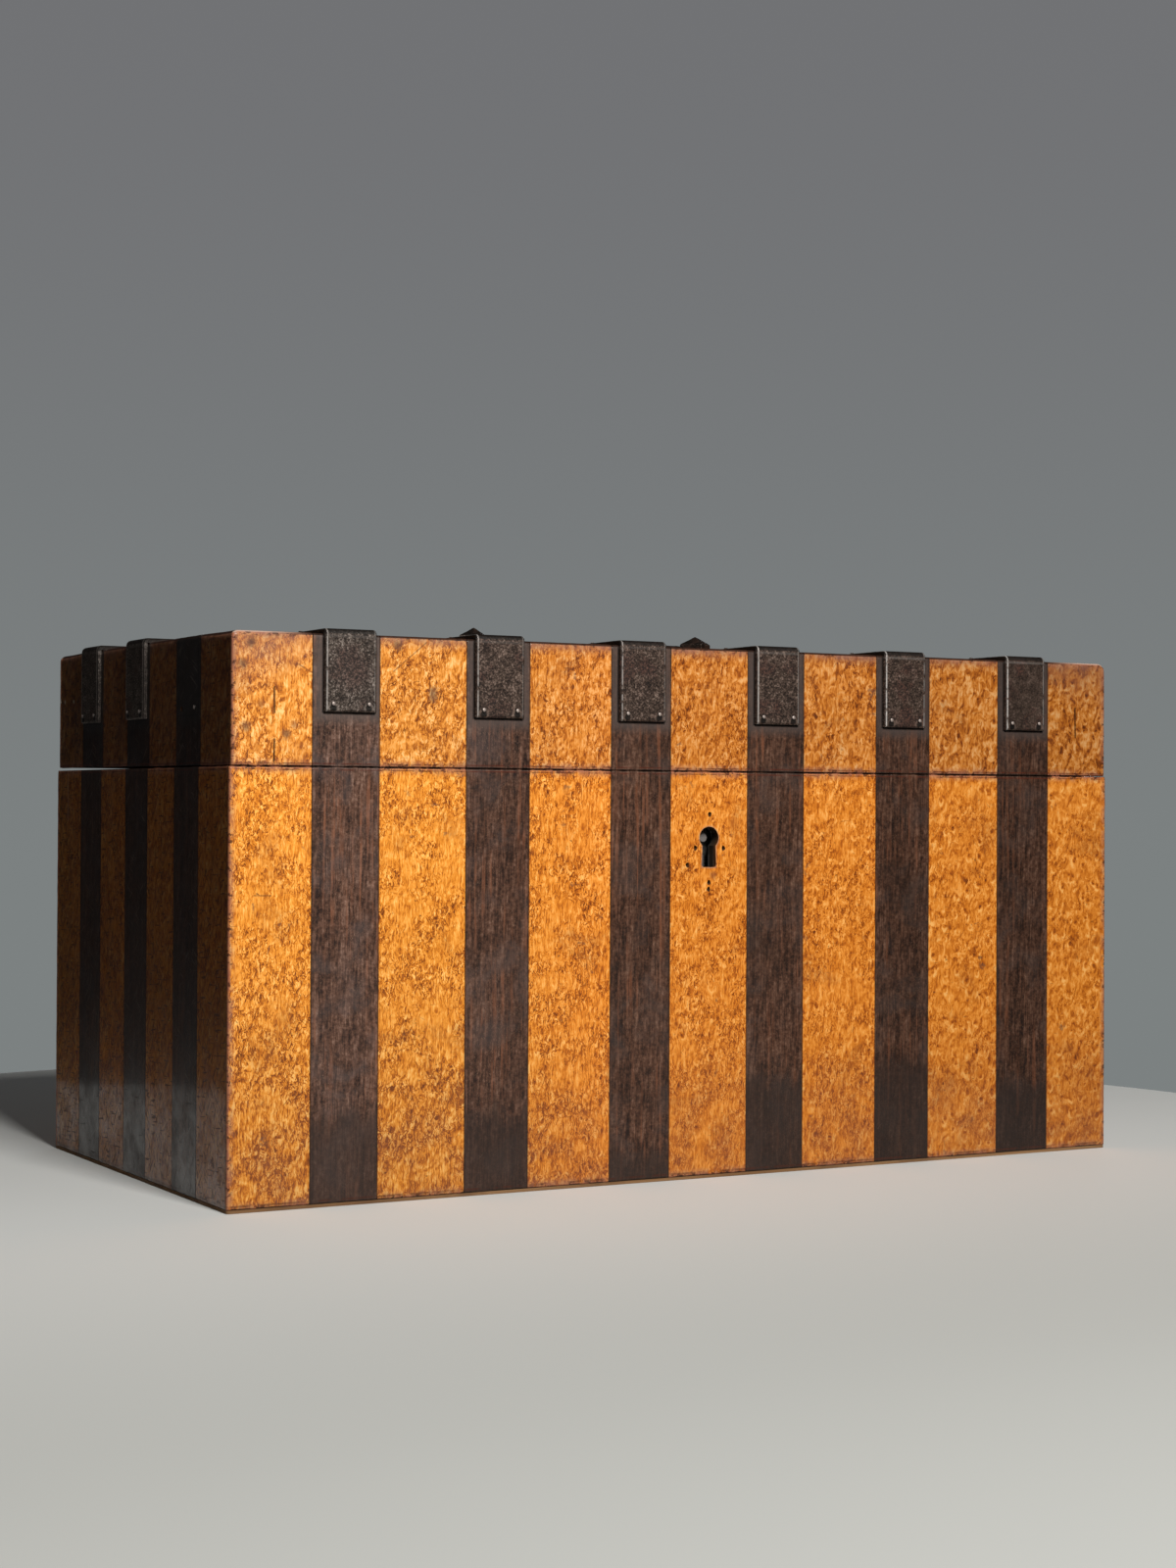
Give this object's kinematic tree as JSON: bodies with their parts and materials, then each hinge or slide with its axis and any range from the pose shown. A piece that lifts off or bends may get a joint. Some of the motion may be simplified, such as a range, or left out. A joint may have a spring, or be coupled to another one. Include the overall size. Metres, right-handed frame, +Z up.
{
  "type": "hinged lid box",
  "caption": "Striped maple and rosewood box with a hinged lid, iron edge clips, a swinging bail handle and a mortised lock.",
  "frame": {"origin": "centre of the base's underside", "axes": "+X along the box to the right as seen from the front, +Y from the front to the back, +Z up"},
  "size_m": [0.2916, 0.1507, 0.1587],
  "materials": {
    "maple": "aged varnish, satin",
    "rosewood": "aged varnish, satin",
    "carcass_wood": "planed, unpolished",
    "iron": "dark, worn",
    "brass": "tarnished",
    "lock_steel": "worn"
  },
  "bodies": {
    "case": {"base_sheet": "carcass_wood", "bottom_board": "carcass_wood", "case_back_board": "carcass_wood", "case_back_maple": "maple", "case_back_rosewood": "rosewood", "case_front_board": "carcass_wood", "case_front_maple": "maple", "case_front_rosewood": "rosewood", "case_left_board": "carcass_wood", "case_left_maple": "maple", "case_left_rosewood": "rosewood", "case_right_board": "carcass_wood", "case_right_maple": "maple", "case_right_rosewood": "rosewood", "hinge_case_screws": "brass", "hinge_left_case_leaf": "brass", "hinge_pins": "brass", "hinge_right_case_leaf": "brass", "lock_cap": "lock_steel", "lock_drill_pin": "lock_steel", "lock_plate": "lock_steel", "lock_screws": "lock_steel", "lock_spring": "lock_steel"},
    "lid": {"clip_front_1": "iron", "clip_front_2": "iron", "clip_front_3": "iron", "clip_front_4": "iron", "clip_front_5": "iron", "clip_front_6": "iron", "clip_left_2": "iron", "clip_left_3": "iron", "clip_pins": "iron", "clips_back": "iron", "clips_right": "iron", "handle_nuts": "iron", "handle_post_left": "iron", "handle_post_right": "iron", "hinge_left_lid_leaf": "brass", "hinge_lid_screws": "brass", "hinge_right_lid_leaf": "brass", "lid_back_maple": "maple", "lid_back_rail": "carcass_wood", "lid_back_rosewood": "rosewood", "lid_front_maple": "maple", "lid_front_rail": "carcass_wood", "lid_front_rosewood": "rosewood", "lid_left_maple": "maple", "lid_left_rail": "carcass_wood", "lid_left_rosewood": "rosewood", "lid_right_maple": "maple", "lid_right_rail": "carcass_wood", "lid_right_rosewood": "rosewood", "lid_top_board": "carcass_wood", "lid_top_maple": "maple", "lid_top_rosewood": "rosewood", "lock_link_plate": "lock_steel", "lock_link_screws": "lock_steel"},
    "bail": {"handle_bail": "iron"},
    "lock_bolt": {"lock_bolt": "lock_steel"}
  },
  "joints": [
    {"name": "lid_hinge", "type": "hinge", "parent": "case", "child": "lid", "pos_m": [0, 0.07325, 0.11545], "axis": [-1, 0, 0], "range_deg": [0, 100]},
    {"name": "bail_swing", "type": "hinge", "parent": "lid", "child": "bail", "pos_m": [0, 0, 0.1529], "axis": [1, 0, 0], "range_deg": [0, 180]},
    {"name": "bolt_slide", "type": "slide", "parent": "case", "child": "lock_bolt", "axis": [1, 0, 0], "range_m": [0, 0.004]}
  ]
}
